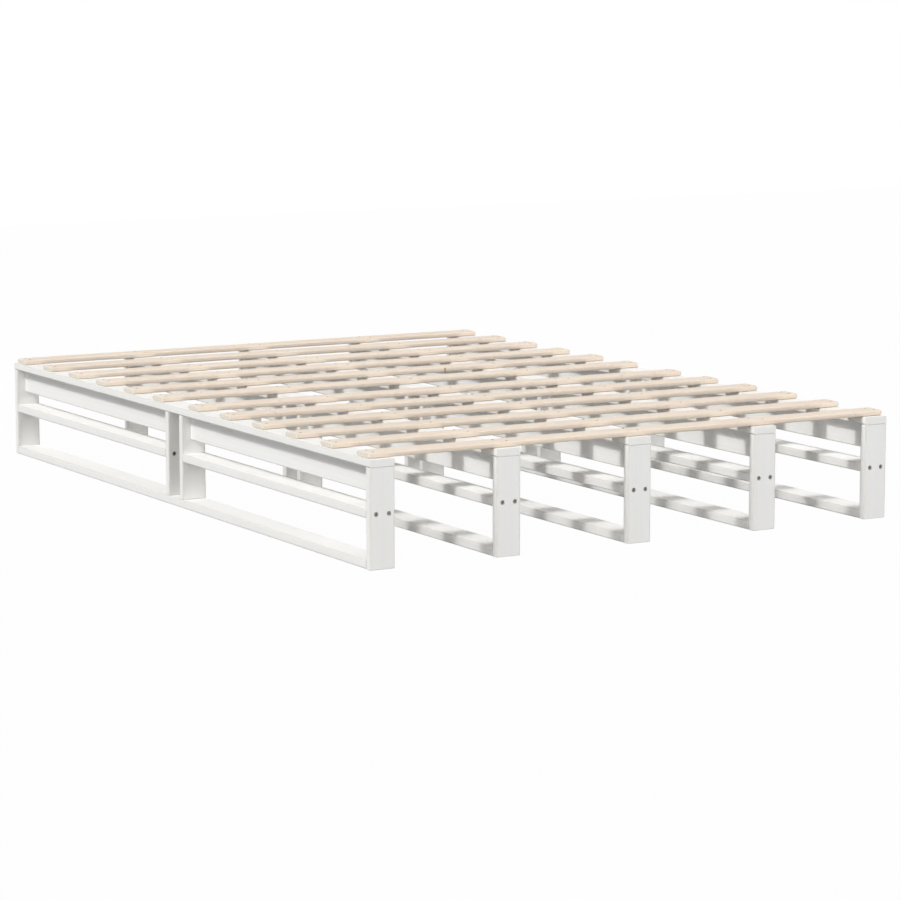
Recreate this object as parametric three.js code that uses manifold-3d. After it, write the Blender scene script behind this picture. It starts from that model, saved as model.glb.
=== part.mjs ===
// A low slatted bed base of painted pine: five long frames stand side by side on the floor,
// and two groups of bare pine slats lie across them. Millimetres, +Z up, +Y along the bed.
// The origin lies on the floor under the middle of the bed.
import * as THREE from 'three';
import { mergeVertices } from 'three/addons/utils/BufferGeometryUtils.js';
import Module from 'manifold-3d';

// Overall sizes
const bedLength = 2000;
const bedWidth = 1400;
const plankTop = 245;

// The five frames. Every board of a frame is as wide as the frame.
const boardWidth = 62;
const plankThickness = 18;
const railThickness = 21;
const postThickness = 20;
const midPostGap = 58;
const middleRailHeight = 113;
const outerFramePitch = 321;

// The strip on edge under each half of a plank, which makes a T with it
const stripThickness = 18;
const stripDepth = 60;
const stripHousing = 2;

// The slats
const slatWidth = 56;
const slatThickness = 13;
const slatSetback = 13;
const slatEndInset = 4;
const slatGroupGap = 148;
const slatsPerGroup = 6;

// Eased edges: along a board, and round its two ends
const boardEase = 3;
const boardEndEase = 1;
const boardEaseSteps = 1;
const slatEase = 5;
const slatEndEase = 2;
const slatEaseSteps = 2;
const largestEaseShare = 0.4;

// The two screws through a post into the end of a middle rail
const screwSpacing = 32;
const headHoleDiameter = 11;
const headHoleDepth = 6;
const shankHoleDiameter = 5;
const pilotHoleDiameter = 3.5;
const pilotHoleDepth = 40;
const holeSides = 12;

// The two screws through a slat into a plank. Their heads lie flush in a countersink of 90 degrees.
const slatScrewSpread = 32;
const slatScrewStagger = 18;
const slatScrewFromEnd = 17;
const countersinkDiameter = 6.6;
const slatHoleDiameter = 4;
const plankPilotDiameter = 3;
const plankPilotDepth = 14;
const slatHoleSides = 10;

// The glue and paint between two boards that meet, and how far a cut runs past a face
const jointGap = 0.2;
const overrun = 2;

const paintColour = 0xeae9e6;
const pineColour = 0xe9d3b5;

const wasm = await Module();
wasm.setup();

const boardEdge = { ease: boardEase, endEase: boardEndEase, steps: boardEaseSteps };
const slatEdge = { ease: slatEase, endEase: slatEndEase, steps: slatEaseSteps };

const halfLength = bedLength / 2;
const plankUnderside = plankTop - plankThickness;
const stripUnderside = plankUnderside - stripDepth;
const midPostInnerFace = midPostGap / 2;
const midPostOuterFace = midPostInnerFace + postThickness;
const endPostInnerFace = halfLength - postThickness;
const halfBayLength = endPostInnerFace - midPostOuterFace - 2 * jointGap;
const halfBayCentre = (endPostInnerFace + midPostOuterFace) / 2;

const outerX = (bedWidth - boardWidth) / 2;
const frameXs = [-outerX, outerFramePitch - outerX, 0, outerX - outerFramePitch, outerX];

// The middles of the slats, from the foot end. Each group starts at its end of the bed and stops
// short of the middle.
const slatLength = bedWidth - 2 * slatEndInset;
const lastSlatY = (slatGroupGap + slatWidth) / 2;
const slatPitch = (halfLength - slatSetback - slatWidth / 2 - lastSlatY) / (slatsPerGroup - 1);
const groupYs = Array.from({ length: slatsPerGroup }, (_, index) => lastSlatY + slatPitch * index);
const slatYs = [...groupYs.map((y) => -y).reverse(), ...groupYs];

// A closed geometry as a solid that can be joined and cut
function solidOf(geometry) {
  const bare = geometry.clone();
  bare.deleteAttribute('normal');
  bare.deleteAttribute('uv');
  const merged = mergeVertices(bare);
  return new wasm.Manifold(new wasm.Mesh({
    numProp: 3,
    vertProperties: new Float32Array(merged.attributes.position.array),
    triVerts: new Uint32Array(merged.index.array),
  }));
}

function geometryOf(solid) {
  const mesh = solid.getMesh();
  const geometry = new THREE.BufferGeometry();
  geometry.setAttribute('position', new THREE.BufferAttribute(mesh.vertProperties, 3));
  geometry.setIndex(new THREE.BufferAttribute(mesh.triVerts, 1));
  geometry.computeVertexNormals();
  return geometry;
}

// A board's section: a rectangle with quarter-round corners
function roundedRectangle(width, height, radius) {
  const x = width / 2;
  const y = height / 2;
  const shape = new THREE.Shape();
  shape.moveTo(x, radius - y);
  shape.absarc(x - radius, y - radius, radius, 0, Math.PI / 2, false);
  shape.absarc(radius - x, y - radius, radius, Math.PI / 2, Math.PI, false);
  shape.absarc(radius - x, radius - y, radius, Math.PI, 3 * Math.PI / 2, false);
  shape.absarc(x - radius, radius - y, radius, 3 * Math.PI / 2, 2 * Math.PI, false);
  return shape;
}

// A board with its middle at the origin: width along X, thickness along Y, length along Z
function easedBoard(width, thickness, length, edge) {
  const radius = Math.min(edge.ease, thickness * largestEaseShare);
  const endRadius = Math.min(edge.endEase, radius * largestEaseShare);
  const geometry = new THREE.ExtrudeGeometry(roundedRectangle(width, thickness, radius), {
    depth: length - 2 * endRadius,
    curveSegments: edge.steps,
    bevelThickness: endRadius,
    bevelSize: endRadius,
    bevelOffset: -endRadius,
    bevelSegments: 1,
  });
  return geometry.translate(0, 0, endRadius - length / 2);
}

// The same board lying flat along Y
function boardAlongY(width, thickness, length, edge) {
  return easedBoard(width, thickness, length, edge).rotateX(-Math.PI / 2);
}

// The same board lying flat along X
function boardAlongX(width, thickness, length, edge) {
  return boardAlongY(width, thickness, length, edge).rotateZ(-Math.PI / 2);
}

function piece(name, geometry, colour, x, y, z) {
  const material = new THREE.MeshStandardMaterial({ color: colour, roughness: 0.6, metalness: 0 });
  const mesh = new THREE.Mesh(geometry, material);
  mesh.name = name;
  mesh.position.set(x, y, z);
  return mesh;
}

// Two holes side by side across the board's width, along Y, from one Y to another
function holePair(diameter, fromY, toY, z) {
  const length = Math.abs(toY - fromY);
  const holes = [-screwSpacing / 2, screwSpacing / 2].map((x) => {
    const hole = new THREE.CylinderGeometry(diameter / 2, diameter / 2, length, holeSides);
    return solidOf(hole.translate(x, (fromY + toY) / 2, z));
  });
  return holes[0].add(holes[1]);
}

// The slat screws over one frame, as [x, y] from the middle of the frame and of the slat. Over an
// outer frame both keep their distance from the slat's end, and over an inner one they are staggered.
function slatScrews(frameX) {
  const outer = Math.abs(frameX) === outerX;
  const middle = outer ? Math.sign(frameX) * (slatLength / 2 - slatScrewFromEnd) - frameX : 0;
  const stagger = outer ? 0 : slatScrewStagger;
  return [-1, 1].map((side) => [middle + side * stagger / 2, -side * slatScrewSpread / 2]);
}

// Upright holes round the given [x, y] places, each reaching as far above z as below it
function uprightHoles(diameter, halfDepth, places, z) {
  const holes = places.map(([x, y]) => {
    const radius = diameter / 2;
    const hole = new THREE.CylinderGeometry(radius, radius, 2 * halfDepth, slatHoleSides);
    return solidOf(hole.rotateX(Math.PI / 2).translate(x, y, z));
  });
  return holes.reduce((joined, hole) => joined.add(hole));
}

// The countersinks round the given [x, y] places in a top at height z
function countersinks(places, z) {
  const radius = countersinkDiameter / 2 + overrun;
  const cones = places.map(([x, y]) => {
    const cone = new THREE.ConeGeometry(radius, radius, slatHoleSides);
    return solidOf(cone.rotateX(-Math.PI / 2).translate(x, y, z + overrun - radius / 2));
  });
  return cones.reduce((joined, cone) => joined.add(cone));
}

// A post from one height up to the plank. Its screw holes start on the face away from the rail,
// which is the face on the side of headSide: 1 for +Y, -1 for -Y.
function post(name, y, bottom, headSide) {
  const top = plankUnderside - jointGap;
  const centreZ = (top + bottom) / 2;
  const screwZ = middleRailHeight + railThickness / 2 - centreZ;
  const headFace = headSide * postThickness / 2;
  const board = solidOf(easedBoard(boardWidth, postThickness, top - bottom, boardEdge));
  const outside = headFace + headSide * overrun;
  const headHoles = holePair(headHoleDiameter, outside, headFace - headSide * headHoleDepth, screwZ);
  const shankHoles = holePair(shankHoleDiameter, headFace, -outside, screwZ);
  const geometry = geometryOf(board.subtract(headHoles.add(shankHoles)));
  return piece(name, geometry, paintColour, 0, y, centreZ);
}

// A flat rail between an end post and a mid post, with the screws' pilot holes in both ends
function middleRail(name, y) {
  const end = halfBayLength / 2;
  const rail = solidOf(boardAlongY(boardWidth, railThickness, halfBayLength, boardEdge));
  const pilots = holePair(pilotHoleDiameter, end + overrun, end - pilotHoleDepth, 0)
    .add(holePair(pilotHoleDiameter, -end - overrun, pilotHoleDepth - end, 0));
  const z = middleRailHeight + railThickness / 2;
  return piece(name, geometryOf(rail.subtract(pilots)), paintColour, 0, y, z);
}

// The flat rail on the floor between the two end posts; the mid posts stand on it
function bottomRail(name) {
  const length = 2 * (endPostInnerFace - jointGap);
  const geometry = boardAlongY(boardWidth, railThickness, length, boardEdge);
  return piece(name, geometry, paintColour, 0, 0, railThickness / 2);
}

// The plank on top of the posts, and the strip housed in its underside over each half bay. The
// slat screws' pilot holes are in the plank's top.
function topRail(name, frameX) {
  const plankZ = plankTop - plankThickness / 2;
  const plank = boardAlongY(boardWidth, plankThickness, bedLength, boardEdge);
  const stripHeight = stripDepth + stripHousing;
  const stripZ = stripUnderside + stripHeight / 2 - plankZ;
  const strips = [-halfBayCentre, halfBayCentre].map((y) => {
    const strip = boardAlongY(stripThickness, stripHeight, halfBayLength, boardEdge);
    return solidOf(strip.translate(0, y, stripZ));
  });
  const places = slatYs.flatMap((y) => slatScrews(frameX).map(([dx, dy]) => [dx, y + dy]));
  const pilots = uprightHoles(plankPilotDiameter, plankPilotDepth, places, plankThickness / 2);
  const joined = solidOf(plank).add(strips[0]).add(strips[1]).subtract(pilots);
  return piece(name, geometryOf(joined), paintColour, 0, 0, plankZ);
}

function longFrame(number, x) {
  const frame = new THREE.Group();
  frame.position.x = x;
  const endPostY = halfLength - postThickness / 2;
  const midPostY = midPostInnerFace + postThickness / 2;
  const railTop = railThickness + jointGap;
  frame.add(
    topRail(`top_rail_${number}`, x),
    bottomRail(`bottom_rail_${number}`),
    post(`front_post_${number}`, -endPostY, 0, -1),
    post(`front_mid_post_${number}`, -midPostY, railTop, 1),
    post(`rear_mid_post_${number}`, midPostY, railTop, -1),
    post(`rear_post_${number}`, endPostY, 0, 1),
    middleRail(`front_middle_rail_${number}`, -halfBayCentre),
    middleRail(`rear_middle_rail_${number}`, halfBayCentre),
  );
  return frame;
}

// The slats, with the screws' countersunk clearance holes through them
function slats() {
  const group = new THREE.Group();
  const z = plankTop + jointGap + slatThickness / 2;
  const places = frameXs.flatMap((x) => slatScrews(x).map(([dx, dy]) => [x + dx, dy]));
  const holes = uprightHoles(slatHoleDiameter, slatThickness / 2 + overrun, places, 0)
    .add(countersinks(places, slatThickness / 2));
  slatYs.forEach((y, index) => {
    const board = solidOf(boardAlongX(slatWidth, slatThickness, slatLength, slatEdge));
    const name = `slat_${String(index + 1).padStart(2, '0')}`;
    group.add(piece(name, geometryOf(board.subtract(holes)), pineColour, 0, y, z));
  });
  return group;
}

const bed = new THREE.Group();
frameXs.forEach((x, index) => bed.add(longFrame(index + 1, x)));
bed.add(slats());

export default bed;
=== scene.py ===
import math
import random

import bmesh
import bpy
from mathutils import Matrix, Vector


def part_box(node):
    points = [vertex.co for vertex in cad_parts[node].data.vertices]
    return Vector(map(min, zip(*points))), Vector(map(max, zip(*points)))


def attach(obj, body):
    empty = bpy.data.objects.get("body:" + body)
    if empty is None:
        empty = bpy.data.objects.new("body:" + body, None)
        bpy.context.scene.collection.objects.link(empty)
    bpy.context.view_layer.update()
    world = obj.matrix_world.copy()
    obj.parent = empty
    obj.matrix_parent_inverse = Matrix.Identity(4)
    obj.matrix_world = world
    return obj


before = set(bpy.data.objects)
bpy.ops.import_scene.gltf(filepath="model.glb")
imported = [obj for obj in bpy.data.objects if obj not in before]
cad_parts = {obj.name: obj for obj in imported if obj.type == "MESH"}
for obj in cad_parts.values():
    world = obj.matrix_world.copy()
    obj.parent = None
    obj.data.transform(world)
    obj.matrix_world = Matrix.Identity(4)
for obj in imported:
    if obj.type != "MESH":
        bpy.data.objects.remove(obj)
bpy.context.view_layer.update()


# The long frames: planks, strips, rails and posts of planed pine, glued and screwed together.
# They are sprayed with opaque white satin paint, which is nearly even. It follows the grain under
# it as faint ridges, and knots show as slight stains. The rounded edges carry painted shade, a darker
# warm grey that damps the highlight the lamps put on them.
MM = 0.001
FRAMES = range(1, 6)
PAINT = "#F0F0EE"
PAINT_IN_GRAIN = "#EDECEA"
KNOT_UNDER_PAINT = "#E8E4DB"
KNOT_SHARE = 0.55
# Painted shade: the rounded edges are painted darker, to damp the highlight the lamps put on them
PAINTED_SHADE_ON_EDGE = "#DAD7D0"
EDGE_SHADE_SHARE = 0.8
PAINT_ROUGHNESS = (0.6, 0.7)
PAINT_RELIEF = 0.03 * MM
# The spray's orange peel: its hills per metre, and their height beside the grain's ridges
PEEL_PER_METRE = 450
PEEL_SHARE = 0.35
# The wood: the width of its growth rings, and how dark a ring is from its start to its end
RING_WIDTH = 3.4 * MM
RING_TONES = ((0, 0.25), (0.1, 0), (0.45, 0.08), (0.9, 1), (1, 0.25))
# Where a board lies from the heart of its log: the least way along, across and through the board, and
# how much that varies from board to board. The heart runs 30 to 130 mm beside the board.
HEART_FROM = (0, -45 * MM, 30 * MM)
HEART_ROOM = (9, 90 * MM, 100 * MM)
# Half of the cells of a grid drawn out along the board hold a knot, with a radius between these two. Its
# dark disc fades out between two shares of its radius, and the rings' bulge between two more.
KNOT_CELLS_PER_METRE = (2.6, 9, 0)
KNOT_FREE_SHARE = 0.5
KNOT_RADII = (0.1 * MM, 5 * MM)
DISC_SHARES = (0.75, 1.15)
BULGE_SHARES = (0.8, 3.6)
BULGE_RINGS = 2.4
# Good and bad years shift the rings by up to this many, and change this often from ring to ring
WEATHER_RINGS = 2.2
WEATHER_PER_RING = 0.45
# How far the rings wander. Fibres are about 1 mm thick and 40 times as long, and clouds a hand wide.
WANDER = 16 * MM
WANDER_PER_METRE = (1.7, 7, 7)
FIBRES_PER_METRE = (24, 950, 950)
CLOUDS_PER_METRE = (5, 22, 22)
# What a noise texture rarely leaves, and the depths of grain between which the paint shows it
NOISE_SPAN = (0.3, 0.7)
GRAIN_SPAN = (0.4, 1.0)
GRAIN_SHARE = 0.8
# How squarely a face looks along an axis: from not at all a wide face to one, and from flat to eased
WIDE_FACE_SPAN = (0.3, 0.8)
EASED_SPAN = (0.995, 0.93)
# The middles of the gaps between frames, rails and posts: one of them, and from one to the next
FRAME_GAPS = (170 * MM, 340 * MM)
LEVEL_GAPS = (50 * MM, 100 * MM)
POST_GAPS = (25 * MM, 50 * MM)


def linear(hex_colour):
    """A colour socket's value from an sRGB hex value."""
    shares = [int(hex_colour[i:i + 2], 16) / 255 for i in (1, 3, 5)]
    return (*[s / 12.92 if s <= 0.04045 else ((s + 0.055) / 1.055) ** 2.4 for s in shares], 1)


def add(tree, kind, inputs, **settings):
    """A new shader node: settings on the node, then a link or a value for each input."""
    node = tree.nodes.new(kind)
    for name, value in settings.items():
        setattr(node, name, value)
    for key, value in inputs.items():
        if isinstance(value, bpy.types.NodeSocket):
            tree.links.new(value, node.inputs[key])
        else:
            node.inputs[key].default_value = value
    return node


def wood_in_boards(tree, order, gaps_across, gaps_through):
    """The wood of every board of a kind, each cut from another log: its rings, fibres, clouds, knots
    and a tone for the board, each from 0 to 1. order is the axes along, across and through a board.
    The gaps between such boards are given as one place and the way from it to the next."""
    place = add(tree, "ShaderNodeTexCoord", {}).outputs["Object"]
    axes = add(tree, "ShaderNodeSeparateXYZ", {0: place}).outputs
    board = add(tree, "ShaderNodeCombineXYZ", {i: axes[axis] for i, axis in enumerate(order)}).outputs[0]
    first = (0, gaps_across[0], gaps_through[0])
    cell = (0, gaps_across[1], gaps_through[1])
    from_first = add(tree, "ShaderNodeVectorMath", {0: board, 1: first}, operation="SUBTRACT").outputs[0]
    corner = add(tree, "ShaderNodeVectorMath", {0: from_first, 1: cell}, operation="SNAP").outputs[0]
    within = add(tree, "ShaderNodeVectorMath", {0: from_first, 1: corner}, operation="SUBTRACT").outputs[0]
    log = add(tree, "ShaderNodeTexWhiteNoise", {"Vector": corner}, noise_dimensions="3D").outputs
    start = add(tree, "ShaderNodeVectorMath", {0: log["Color"], 1: HEART_ROOM, 2: HEART_FROM},
                operation="MULTIPLY_ADD").outputs[0]
    wood = add(tree, "ShaderNodeVectorMath", {0: within, 1: start}, operation="ADD").outputs[0]

    # Knots: how far away the nearest is, in its own radii, then its dark disc and the rings' bulge round it
    in_grid = add(tree, "ShaderNodeVectorMath", {0: wood, 1: KNOT_CELLS_PER_METRE},
                  operation="MULTIPLY").outputs[0]
    nearest = add(tree, "ShaderNodeTexVoronoi", {"Vector": in_grid, "Scale": 1},
                  voronoi_dimensions="2D").outputs
    away = add(tree, "ShaderNodeVectorMath", {0: nearest["Position"], 1: in_grid},
               operation="SUBTRACT").outputs[0]
    cell_size = (1 / KNOT_CELLS_PER_METRE[0], 1 / KNOT_CELLS_PER_METRE[1], 0)
    flat_away = add(tree, "ShaderNodeVectorMath", {0: away, 1: cell_size}, operation="MULTIPLY").outputs[0]
    distance = add(tree, "ShaderNodeVectorMath", {0: flat_away}, operation="LENGTH").outputs["Value"]
    chance = add(tree, "ShaderNodeSeparateColor", {0: nearest["Color"]}).outputs[0]
    radius = add(tree, "ShaderNodeMapRange",
                 {0: chance, 1: KNOT_FREE_SHARE, 2: 1, 3: KNOT_RADII[0], 4: KNOT_RADII[1]}).outputs[0]
    radii = add(tree, "ShaderNodeMath", {0: distance, 1: radius}, operation="DIVIDE").outputs[0]
    knot = add(tree, "ShaderNodeMapRange", {0: radii, 1: DISC_SHARES[1], 2: DISC_SHARES[0], 3: 0, 4: 1},
               interpolation_type="SMOOTHSTEP").outputs[0]
    bulge = add(tree, "ShaderNodeMapRange",
                {0: radii, 1: BULGE_SHARES[1], 2: BULGE_SHARES[0], 3: 0, 4: BULGE_RINGS},
                interpolation_type="SMOOTHSTEP").outputs[0]

    # Growth rings round the heart, which wander along the board and pass round the knots
    slow = add(tree, "ShaderNodeVectorMath", {0: wood, 1: WANDER_PER_METRE}, operation="MULTIPLY").outputs[0]
    wander = add(tree, "ShaderNodeTexNoise", {"Vector": slow, "Scale": 1, "Detail": 2}).outputs["Color"]
    bent = add(tree, "ShaderNodeVectorMath", {0: wander, 1: (0, WANDER, WANDER), 2: wood},
               operation="MULTIPLY_ADD").outputs[0]
    across = add(tree, "ShaderNodeVectorMath", {0: bent, 1: (0, 1, 1)}, operation="MULTIPLY").outputs[0]
    from_heart = add(tree, "ShaderNodeVectorMath", {0: across}, operation="LENGTH").outputs["Value"]
    year = add(tree, "ShaderNodeMath", {0: from_heart, 1: 1 / RING_WIDTH, 2: bulge},
               operation="MULTIPLY_ADD").outputs[0]
    weather = add(tree, "ShaderNodeTexNoise", {"W": year, "Scale": WEATHER_PER_RING, "Detail": 1},
                  noise_dimensions="1D").outputs[0]
    uneven = add(tree, "ShaderNodeMath", {0: weather, 1: WEATHER_RINGS, 2: year},
                 operation="MULTIPLY_ADD").outputs[0]
    season = add(tree, "ShaderNodeMath", {0: uneven}, operation="FRACT").outputs[0]
    rings = add(tree, "ShaderNodeValToRGB", {0: season})
    for index, (at, tone) in enumerate(RING_TONES):
        stop = rings.color_ramp.elements[index] if index < 2 else rings.color_ramp.elements.new(at)
        stop.position, stop.color = at, (tone, tone, tone, 1)

    thin = add(tree, "ShaderNodeVectorMath", {0: wood, 1: FIBRES_PER_METRE}, operation="MULTIPLY").outputs[0]
    fibres = add(tree, "ShaderNodeTexNoise", {"Vector": thin, "Scale": 1, "Detail": 2}).outputs[0]
    wide = add(tree, "ShaderNodeVectorMath", {0: wood, 1: CLOUDS_PER_METRE}, operation="MULTIPLY").outputs[0]
    clouds = add(tree, "ShaderNodeTexNoise", {"Vector": wide, "Scale": 1, "Detail": 3}).outputs[0]
    return rings.outputs[0], fibres, clouds, knot, log["Value"]


def facing(tree):
    """How squarely a surface faces along X, Y and Z, either way, each from 0 to 1."""
    normal = add(tree, "ShaderNodeNewGeometry", {}).outputs["True Normal"]
    size = add(tree, "ShaderNodeVectorMath", {0: normal}, operation="ABSOLUTE").outputs[0]
    return add(tree, "ShaderNodeSeparateXYZ", {0: size}).outputs


def eased_edges(tree):
    """1 where a surface faces along none of the axes, which is only where an edge is rounded."""
    parts = facing(tree)
    larger = add(tree, "ShaderNodeMath", {0: parts[0], 1: parts[1]}, operation="MAXIMUM").outputs[0]
    largest = add(tree, "ShaderNodeMath", {0: larger, 1: parts[2]}, operation="MAXIMUM").outputs[0]
    return add(tree, "ShaderNodeMapRange",
               {0: largest, 1: EASED_SPAN[0], 2: EASED_SPAN[1], 3: 0, 4: 1}).outputs[0]


def new_material(name):
    """A new material with its tree and its surface shader."""
    material = bpy.data.materials.new(name)
    material.use_nodes = True
    return material, material.node_tree, material.node_tree.nodes["Principled BSDF"]


def painted_pine(name, order, gaps_across, gaps_through):
    """Satin paint on planed pine: nearly even, with the wood under it as faint lines and ridges."""
    material, tree, surface = new_material(name)
    rings, fibres, clouds, knot = wood_in_boards(tree, order, gaps_across, gaps_through)[:4]
    grain = add(tree, "ShaderNodeMath", {0: rings, 1: fibres}, operation="MULTIPLY").outputs[0]
    sunk = add(tree, "ShaderNodeMath", {0: grain, 1: clouds}, operation="ADD", use_clamp=True).outputs[0]
    faint = add(tree, "ShaderNodeMapRange",
                {0: sunk, 1: GRAIN_SPAN[0], 2: GRAIN_SPAN[1], 3: 0, 4: GRAIN_SHARE}).outputs[0]
    plain = add(tree, "ShaderNodeMix", {0: faint, 6: linear(PAINT), 7: linear(PAINT_IN_GRAIN)},
                data_type="RGBA").outputs[2]
    # A knot runs through a board's thickness, so it shows on the wide faces
    through = facing(tree)[order[2]]
    wide_face = add(tree, "ShaderNodeMapRange",
                    {0: through, 1: WIDE_FACE_SPAN[0], 2: WIDE_FACE_SPAN[1], 3: 0, 4: KNOT_SHARE}).outputs[0]
    under = add(tree, "ShaderNodeMath", {0: knot, 1: wide_face}, operation="MULTIPLY").outputs[0]
    stained = add(tree, "ShaderNodeMix", {0: under, 6: plain, 7: linear(KNOT_UNDER_PAINT)},
                  data_type="RGBA").outputs[2]
    # Painted shade on the rounded edges, which damps the highlight they catch from the lamps
    edge = add(tree, "ShaderNodeMath", {0: eased_edges(tree), 1: EDGE_SHADE_SHARE},
               operation="MULTIPLY").outputs[0]
    colour = add(tree, "ShaderNodeMix", {0: edge, 6: stained, 7: linear(PAINTED_SHADE_ON_EDGE)},
                 data_type="RGBA").outputs[2]
    tree.links.new(colour, surface.inputs["Base Color"])
    smooth, rough = PAINT_ROUGHNESS
    gloss = add(tree, "ShaderNodeMapRange",
                {0: clouds, 1: NOISE_SPAN[0], 2: NOISE_SPAN[1], 3: smooth, 4: rough}).outputs[0]
    tree.links.new(gloss, surface.inputs["Roughness"])
    place = add(tree, "ShaderNodeTexCoord", {}).outputs["Object"]
    peel = add(tree, "ShaderNodeTexNoise",
               {"Vector": place, "Scale": PEEL_PER_METRE, "Detail": 1}).outputs[0]
    relief = add(tree, "ShaderNodeMath", {0: peel, 1: PEEL_SHARE, 2: sunk},
                 operation="MULTIPLY_ADD").outputs[0]
    bump = add(tree, "ShaderNodeBump", {"Height": relief, "Strength": 0.5, "Distance": PAINT_RELIEF},
               invert=True)
    tree.links.new(bump.outputs[0], surface.inputs["Normal"])
    surface.inputs["IOR"].default_value = 1.48
    surface.inputs["Specular IOR Level"].default_value = 0.35
    return material


lengthwise_paint = painted_pine("satin_paint_on_lengthwise_pine", "YXZ", FRAME_GAPS, LEVEL_GAPS)
upright_paint = painted_pine("satin_paint_on_upright_pine", "ZXY", FRAME_GAPS, POST_GAPS)
for k in FRAMES:
    for name in ("top_rail", "bottom_rail", "front_middle_rail", "rear_middle_rail"):
        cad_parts[f"{name}_{k}"].material_slots[0].material = lengthwise_paint
    for name in ("front_post", "front_mid_post", "rear_mid_post", "rear_post"):
        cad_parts[f"{name}_{k}"].material_slots[0].material = upright_paint


# The slats: twelve boards of bare planed pine with well-rounded long edges, laid across the frames.
# Unfinished pine is pale and matt, a little pinkish, with darker late wood in fine long lines and
# a few small knots. Each board has its own tone.
EARLY_WOOD = "#E4D8C8"
LATE_WOOD = "#D0B99D"
ROSY_WOOD = "#DDCABB"
# Painted light: the sawn ends are painted pale, standing in for the lamp light they catch
PAINTED_LIGHT_ON_ENDS = "#E3DCD0"
KNOT_HEART = "#B88D60"
# The late wood's lines are broken up by the fibres, down to this share of their tone
FAINT_LINE_SHARE = 0.35
LATE_SHARE = 0.52
ROSY_SPAN = (0.3, 0.75)
ROSY_SHARE = 0.7
# How squarely a face looks along the board, from not at all a sawn end to one
END_SPAN = (0.25, 0.7)
LIT_END_SHARE = 0.9
BOARD_TONES = (0.975, 1.02)
PINE_ROUGHNESS = (0.72, 0.58)
PINE_RELIEF = 0.12 * MM
SLATS = range(1, 13)
SLAT_GAPS = (0, 171.4 * MM)


def bare_pine(name, order, gaps_across):
    """Planed pine without a finish. Its late wood is smoother and stands a little proud."""
    material, tree, surface = new_material(name)
    rings, fibres, clouds, knot, tone = wood_in_boards(tree, order, gaps_across, (0, 0))
    line = add(tree, "ShaderNodeMapRange",
               {0: fibres, 1: NOISE_SPAN[0], 2: NOISE_SPAN[1], 3: FAINT_LINE_SHARE, 4: 1}).outputs[0]
    late = add(tree, "ShaderNodeMath", {0: rings, 1: line}, operation="MULTIPLY").outputs[0]
    late_share = add(tree, "ShaderNodeMath", {0: late, 1: LATE_SHARE}, operation="MULTIPLY").outputs[0]
    ringed = add(tree, "ShaderNodeMix", {0: late_share, 6: linear(EARLY_WOOD), 7: linear(LATE_WOOD)},
                 data_type="RGBA").outputs[2]
    rosy_share = add(tree, "ShaderNodeMapRange",
                     {0: clouds, 1: ROSY_SPAN[0], 2: ROSY_SPAN[1], 3: 0, 4: ROSY_SHARE}).outputs[0]
    rosy = add(tree, "ShaderNodeMix", {0: rosy_share, 6: ringed, 7: linear(ROSY_WOOD)},
               data_type="RGBA").outputs[2]
    knotty = add(tree, "ShaderNodeMix", {0: knot, 6: rosy, 7: linear(KNOT_HEART)},
                 data_type="RGBA").outputs[2]
    dark, light = BOARD_TONES
    board_tone = add(tree, "ShaderNodeMapRange", {0: tone, 1: 0, 2: 1, 3: dark, 4: light}).outputs[0]
    toned = add(tree, "ShaderNodeVectorMath", {0: knotty, "Scale": board_tone}, operation="SCALE").outputs[0]
    # The sawn ends are painted paler and greyer than the planed faces: painted light, standing in for the
    # lamp light they catch
    lengthwise = facing(tree)[order[0]]
    end = add(tree, "ShaderNodeMapRange",
              {0: lengthwise, 1: END_SPAN[0], 2: END_SPAN[1], 3: 0, 4: LIT_END_SHARE}).outputs[0]
    colour = add(tree, "ShaderNodeMix", {0: end, 6: toned, 7: linear(PAINTED_LIGHT_ON_ENDS)},
                 data_type="RGBA").outputs[2]
    tree.links.new(colour, surface.inputs["Base Color"])
    on_early, on_late = PINE_ROUGHNESS
    gloss = add(tree, "ShaderNodeMapRange", {0: rings, 1: 0, 2: 1, 3: on_early, 4: on_late}).outputs[0]
    tree.links.new(gloss, surface.inputs["Roughness"])
    ridge = add(tree, "ShaderNodeMath", {0: rings, 1: fibres}, operation="ADD").outputs[0]
    bump = add(tree, "ShaderNodeBump", {"Height": ridge, "Strength": 0.5, "Distance": PINE_RELIEF})
    tree.links.new(bump.outputs[0], surface.inputs["Normal"])
    surface.inputs["IOR"].default_value = 1.45
    return material


pine = bare_pine("bare_planed_pine", "XYZ", SLAT_GAPS)
for number in SLATS:
    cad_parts[f"slat_{number:02d}"].material_slots[0].material = pine


# The screws through the posts: two hold each post to the end of a middle rail. They are turned steel
# with a zinc coat that has gone grey, with a flat round head and a six-sided socket, and they sit
# deep in the hole drilled for the head.
STEEL = "#86837F"
STEEL_ROUGHNESS = 0.38
ROUGHER_BY = 0.15
DULL_SHARE = 0.72
PATCHES_PER_METRE = 900
STEEL_RELIEF = 0.03 * MM
HEAD_SIDES = 24
HEAD_RADIUS = 5 * MM
HEAD_THICKNESS = 3 * MM
HEAD_HOLE_DEPTH = 6 * MM
BEVEL_WIDTH = 0.35 * MM
BEVEL_RISE = 0.3 * MM
SOCKET_RADIUS = 2.9 * MM
SOCKET_DEPTH = 1.9 * MM
# What brings the three points between two corners of the socket in to its straight side
SOCKET_SHARES = ((1, 0.8966), (2, 0.8660), (3, 0.8966))
SHANK_RADIUS = 2.25 * MM
SHANK_LENGTH = 15 * MM
STEP_LENGTH = 0.5 * MM
CORE_RADIUS = 1.6 * MM
CORE_LENGTH = 34 * MM
POINT_LENGTH = 3 * MM
POINT_SHARE = 0.1
SCREW_SPACING = 32 * MM
# Far less than the way between two rings of points, to tell them apart
HAIR = 0.05 * MM


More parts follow.
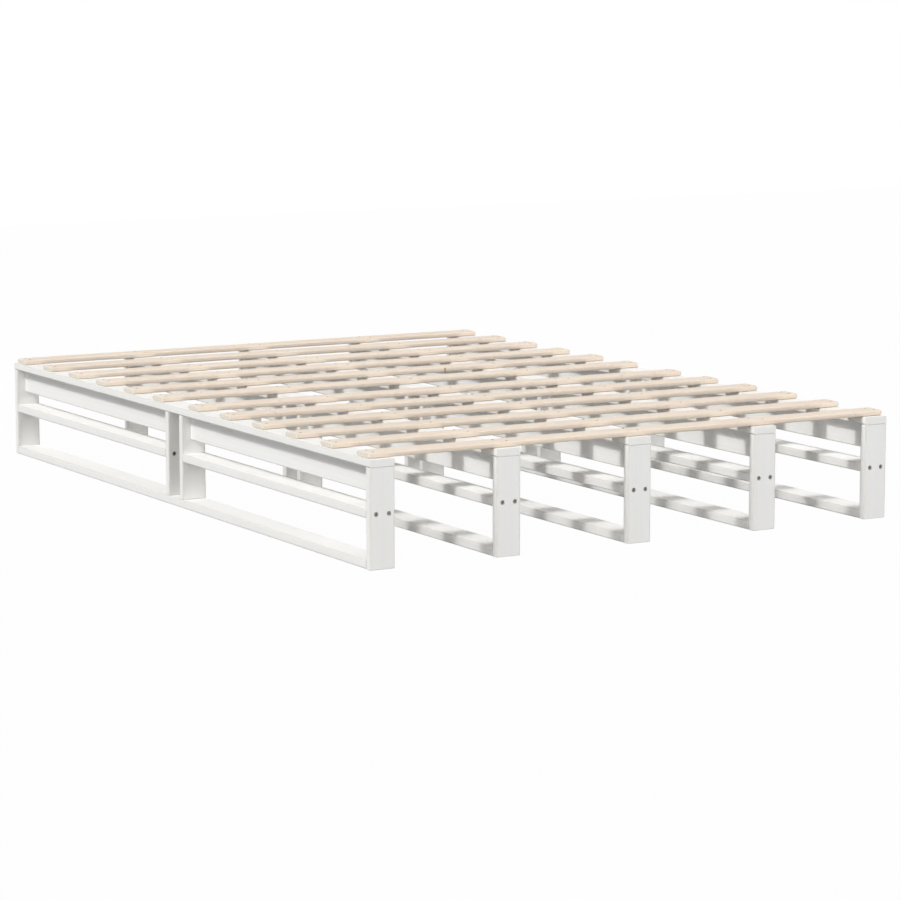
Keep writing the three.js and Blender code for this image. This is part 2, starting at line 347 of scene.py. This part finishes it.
def coated_steel(name, hex_colour, roughness):
    """Turned steel with a thin coat: cloudy, and a little rough."""
    material, tree, surface = new_material(name)
    place = add(tree, "ShaderNodeTexCoord", {}).outputs["Object"]
    patches = add(tree, "ShaderNodeTexNoise",
                  {"Vector": place, "Scale": PATCHES_PER_METRE, "Detail": 2}).outputs[0]
    dull = tuple(DULL_SHARE * c for c in linear(hex_colour)[:3]) + (1,)
    colour = add(tree, "ShaderNodeMix", {0: patches, 6: dull, 7: linear(hex_colour)},
                 data_type="RGBA").outputs[2]
    tree.links.new(colour, surface.inputs["Base Color"])
    gloss = add(tree, "ShaderNodeMapRange",
                {0: patches, 1: NOISE_SPAN[0], 2: NOISE_SPAN[1],
                 3: roughness, 4: roughness + ROUGHER_BY}).outputs[0]
    tree.links.new(gloss, surface.inputs["Roughness"])
    bump = add(tree, "ShaderNodeBump", {"Height": patches, "Strength": 0.4, "Distance": STEEL_RELIEF})
    tree.links.new(bump.outputs[0], surface.inputs["Normal"])
    surface.inputs["Metallic"].default_value = 1
    return material


def pick(piece, kind, test):
    """In edit mode, selects only the faces or vertices that pass the test."""
    bpy.ops.mesh.select_mode(type="FACE" if kind == "faces" else "VERT")
    bpy.ops.mesh.select_all(action="DESELECT")
    mesh = bmesh.from_edit_mesh(piece.data)
    for part in getattr(mesh, kind):
        if test(part):
            part.select_set(True)
    mesh.select_flush_mode()
    bmesh.update_edit_mesh(piece.data)


def faces_up(face):
    """Whether a face looks up."""
    return face.normal.z > 0.9


def faces_down(face):
    """Whether a face looks down."""
    return face.normal.z < -0.9


def put_in_order(piece):
    """Orders edges and faces by their vertices, because extruding leaves them in another order each run."""
    mesh = bmesh.from_edit_mesh(piece.data)
    mesh.verts.index_update()
    for parts in (mesh.edges, mesh.faces):
        ranked = sorted(parts, key=lambda part: sorted(vertex.index for vertex in part.verts))
        for index, part in enumerate(ranked):
            part.index = index
        parts.sort()
    bmesh.update_edit_mesh(piece.data)


def extrude(rise, scale=(1, 1, 1)):
    """Draws the selected faces out along Z and scales them there."""
    bpy.ops.mesh.extrude_region_move(TRANSFORM_OT_translate={"value": (0, 0, rise)})
    bpy.ops.transform.resize(value=scale)
    put_in_order(bpy.context.object)


def start_screw(sides, radius, thickness):
    """A round head of a screw that points down, with its underside at height zero, in edit mode."""
    bpy.ops.object.select_all(action="DESELECT")
    bpy.ops.mesh.primitive_cylinder_add(vertices=sides, radius=radius, depth=thickness,
                                        location=(0, 0, thickness / 2))
    bpy.ops.object.transform_apply(location=True)
    screw = bpy.context.object
    bpy.ops.object.mode_set(mode="EDIT")
    return screw


def draw_shank(steps):
    """Draws the shank out of the selected underside, in (length, scale at its end) steps."""
    for length, scale in steps:
        extrude(-length, (scale, scale, 1))
    bpy.ops.object.mode_set(mode="OBJECT")


def past_corner(vertex, points, corners):
    """How many points a vertex lies past the last corner, on a ring of points with some corners."""
    turn = math.atan2(vertex.co.y, vertex.co.x) / (2 * math.pi) * points
    return round(turn) % (points // corners)


def place_copies(model, name, places):
    """Copies of a screw at the given matrices, as one piece at the origin."""
    bpy.ops.object.select_all(action="DESELECT")
    for place in places:
        copy = bpy.data.objects.new(name, model.data.copy())
        copy.data.transform(place)
        bpy.context.collection.objects.link(copy)
        copy.select_set(True)
    bpy.context.view_layer.objects.active = copy
    bpy.ops.object.join()
    piece = bpy.context.object
    piece.name = name
    return piece


post_screw = start_screw(HEAD_SIDES, HEAD_RADIUS, HEAD_THICKNESS)
pick(post_screw, "faces", faces_up)
bpy.ops.mesh.inset(thickness=BEVEL_WIDTH)
bpy.ops.transform.translate(value=(0, 0, BEVEL_RISE))
bpy.ops.mesh.inset(thickness=HEAD_RADIUS - BEVEL_WIDTH - SOCKET_RADIUS)
for step, scale in SOCKET_SHARES:
    pick(post_screw, "verts", lambda vertex: vertex.co.xy.length < SOCKET_RADIUS + HAIR
         and vertex.co.z > HEAD_THICKNESS and past_corner(vertex, HEAD_SIDES, 6) == step)
    bpy.ops.transform.resize(value=(scale, scale, 1))
pick(post_screw, "faces", lambda face: faces_up(face) and face.calc_center_median().xy.length < HAIR)
extrude(-SOCKET_DEPTH)
pick(post_screw, "faces", faces_down)
bpy.ops.mesh.inset(thickness=HEAD_RADIUS - SHANK_RADIUS)
draw_shank(((SHANK_LENGTH, 1), (STEP_LENGTH, CORE_RADIUS / SHANK_RADIUS), (CORE_LENGTH, 1),
            (POINT_LENGTH, POINT_SHARE)))
steel = coated_steel("zinc_coated_steel", STEEL, STEEL_ROUGHNESS)
post_screw.data.materials.clear()
post_screw.data.materials.append(steel)

turns = random.Random(7)
for k in FRAMES:
    places = []
    for post, rail, side in (("front_post", "front_middle_rail", -1),
                             ("front_mid_post", "front_middle_rail", 1),
                             ("rear_mid_post", "rear_middle_rail", -1),
                             ("rear_post", "rear_middle_rail", 1)):
        low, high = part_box(f"{post}_{k}")
        rail_low, rail_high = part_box(f"{rail}_{k}")
        shoulder = (high.y if side > 0 else low.y) - side * HEAD_HOLE_DEPTH
        height = (rail_low.z + rail_high.z) / 2
        for across in (-SCREW_SPACING / 2, SCREW_SPACING / 2):
            spot = Vector(((low.x + high.x) / 2 + across, shoulder, height))
            lie_down = Matrix.Rotation(-side * math.pi / 2, 4, "X")
            turn = Matrix.Rotation(turns.uniform(0, math.pi / 3), 4, "Z")
            places.append(Matrix.Translation(spot) @ lie_down @ turn)
    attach(place_copies(post_screw, f"post_screws_{k}", places), "root")
bpy.data.objects.remove(post_screw)


# The slats' screws: two small countersunk screws with a cross slot wherever a slat lies on a plank, 120
# in all, of steel with a dark grey phosphate coat. They are driven from above until their heads lie just
# under the slat's face: side by side near the slat's end over the outer frames, and staggered elsewhere.
DARK_STEEL = "#4A4744"
DARK_STEEL_ROUGHNESS = 0.55
FLAT_SIDES = 12
FLAT_RADIUS = 3.05 * MM
FLAT_RIM = 0.15 * MM
CONE_DEPTH = 1.6 * MM
HEAD_SUNK = 0.1 * MM
CROSS_RADIUS = 1.9 * MM
CROSS_DEPTH = 0.7 * MM
# How far in the points between the four arms of the cross are, and how much it narrows downwards
CROSS_WAIST_SHARE = 0.42
CROSS_FLOOR_SHARE = 0.85
THREAD_RADIUS = 1.45 * MM
THREAD_LENGTH = 19 * MM
THREAD_TAPER_SHARE = 0.9
SPREAD = 32 * MM
STAGGER = 18 * MM
FROM_END = 17 * MM

slat_screw = start_screw(FLAT_SIDES, FLAT_RADIUS, FLAT_RIM)
pick(slat_screw, "faces", faces_up)
bpy.ops.mesh.inset(thickness=FLAT_RADIUS - CROSS_RADIUS)
pick(slat_screw, "verts", lambda vertex: vertex.co.xy.length < CROSS_RADIUS + HAIR
     and past_corner(vertex, FLAT_SIDES, 4) == 0)
bpy.ops.transform.resize(value=(CROSS_WAIST_SHARE, CROSS_WAIST_SHARE, 1))
pick(slat_screw, "faces", lambda face: faces_up(face) and face.calc_center_median().xy.length < HAIR)
extrude(-CROSS_DEPTH, (CROSS_FLOOR_SHARE, CROSS_FLOOR_SHARE, 1))
pick(slat_screw, "faces", faces_down)
draw_shank(((CONE_DEPTH, THREAD_RADIUS / FLAT_RADIUS), (THREAD_LENGTH, THREAD_TAPER_SHARE),
            (POINT_LENGTH, POINT_SHARE)))
dark_steel = coated_steel("phosphate_coated_steel", DARK_STEEL, DARK_STEEL_ROUGHNESS)
slat_screw.data.materials.clear()
slat_screw.data.materials.append(dark_steel)

for number in SLATS:
    low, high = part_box(f"slat_{number:02d}")
    places = []
    for k in FRAMES:
        rail_low, rail_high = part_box(f"top_rail_{k}")
        middle, stagger = (rail_low.x + rail_high.x) / 2, STAGGER
        if k in (FRAMES[0], FRAMES[-1]):
            middle, stagger = (low.x + FROM_END if k == FRAMES[0] else high.x - FROM_END), 0
        for side in (-1, 1):
            across = (low.y + high.y) / 2 - side * SPREAD / 2
            spot = Vector((middle + side * stagger / 2, across, high.z - HEAD_SUNK - FLAT_RIM))
            turn = Matrix.Rotation(turns.uniform(0, math.pi / 2), 4, "Z")
            places.append(Matrix.Translation(spot) @ turn)
    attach(place_copies(slat_screw, f"slat_screws_{number:02d}", places), "root")
bpy.data.objects.remove(slat_screw)


# The studio: a pale floor and a white surround. Seen directly or in a reflection both are white, and
# the floor still takes a part of the object's shadow.
FLOOR = "#8B8B8A"
FLOOR_SIZE = 16
FLOOR_ROUGHNESS = 0.9
FLOOR_GLOW = 0.985
SURROUND = 0.03


def seen_rays(tree):
    """1 for rays from the camera and for reflected and transmitted ones, 0 for those that light."""
    path = add(tree, "ShaderNodeLightPath", {}).outputs
    shiny = add(tree, "ShaderNodeMath", {0: path["Is Glossy Ray"], 1: path["Is Transmission Ray"]},
                operation="MAXIMUM").outputs[0]
    return add(tree, "ShaderNodeMath", {0: path["Is Camera Ray"], 1: shiny}, operation="MAXIMUM").outputs[0]


bpy.ops.object.select_all(action="DESELECT")
bpy.ops.mesh.primitive_plane_add(size=FLOOR_SIZE)
floor = bpy.context.object
floor.name = "floor"
floor_material, tree, surface = new_material("pale_floor")
surface.inputs["Base Color"].default_value = linear(FLOOR)
surface.inputs["Roughness"].default_value = FLOOR_ROUGHNESS
white = add(tree, "ShaderNodeEmission", {"Color": (1, 1, 1, 1), "Strength": 1}).outputs[0]
glow = add(tree, "ShaderNodeMath", {0: seen_rays(tree), 1: FLOOR_GLOW}, operation="MULTIPLY").outputs[0]
shown = add(tree, "ShaderNodeMixShader", {0: glow, 1: surface.outputs[0], 2: white}).outputs[0]
tree.links.new(shown, tree.nodes["Material Output"].inputs["Surface"])
floor.data.materials.append(floor_material)

world = bpy.data.worlds.new("white_surround")
bpy.context.scene.world = world
world.use_nodes = True
tree = world.node_tree
dim = tree.nodes["Background"]
dim.inputs["Color"].default_value = (1, 1, 1, 1)
dim.inputs["Strength"].default_value = SURROUND
bright = add(tree, "ShaderNodeBackground", {"Color": (1, 1, 1, 1), "Strength": 1}).outputs[0]
shown = add(tree, "ShaderNodeMixShader", {0: seen_rays(tree), 1: dim.outputs[0], 2: bright}).outputs[0]
tree.links.new(shown, tree.nodes["World Output"].inputs["Surface"])


# The lamps: the main light comes from the left, level with the slats' length and about 50 degrees
# up, and has a bright middle in a wider soft one. Two broad low ones fill in from the front, and a
# weak one from behind on the right, which would glare on the tops, so reflections leave it out.
# Each has its strength, its size, where it shines from (0 is -Y, 90 is +X) and its height in degrees.
LAMPS = {
    "main_light": (1.47, 6, -90, 49.5),
    "soft_main_light": (1.17, 25, -90, 49.5),
    "front_light": (2.0, 50, 25, 10),
    "left_front_light": (1.5, 80, -45, 12),
    "back_light": (1.3, 60, 140, 10),
}
for name, (strength, size, azimuth, height) in LAMPS.items():
    lamp = bpy.data.lights.new(name, "SUN")
    lamp.energy = strength
    lamp.angle = math.radians(size)
    holder = bpy.data.objects.new(name, lamp)
    holder.rotation_euler = (math.radians(90 - height), 0, math.radians(azimuth))
    holder.visible_glossy = name != "back_light"
    bpy.context.scene.collection.objects.link(holder)


# The camera stands at the foot end on the left, a little above the bed, with a long lens.
CAMERA_PLACE = (-4.13274, -7.32079, 1.34234)
CAMERA_TURN = 29.893
CAMERA_DIP = 8.505
CAMERA_LENS = 133.806
CAMERA_REACH = 200
camera = bpy.data.objects.new("camera", bpy.data.cameras.new("camera"))
camera.data.lens = CAMERA_LENS
camera.data.clip_end = CAMERA_REACH
camera.location = CAMERA_PLACE
camera.rotation_euler = (math.radians(90 - CAMERA_DIP), 0, math.radians(-CAMERA_TURN))
bpy.context.scene.collection.objects.link(camera)
bpy.context.scene.camera = camera
bpy.context.scene.view_settings.view_transform = "Standard"
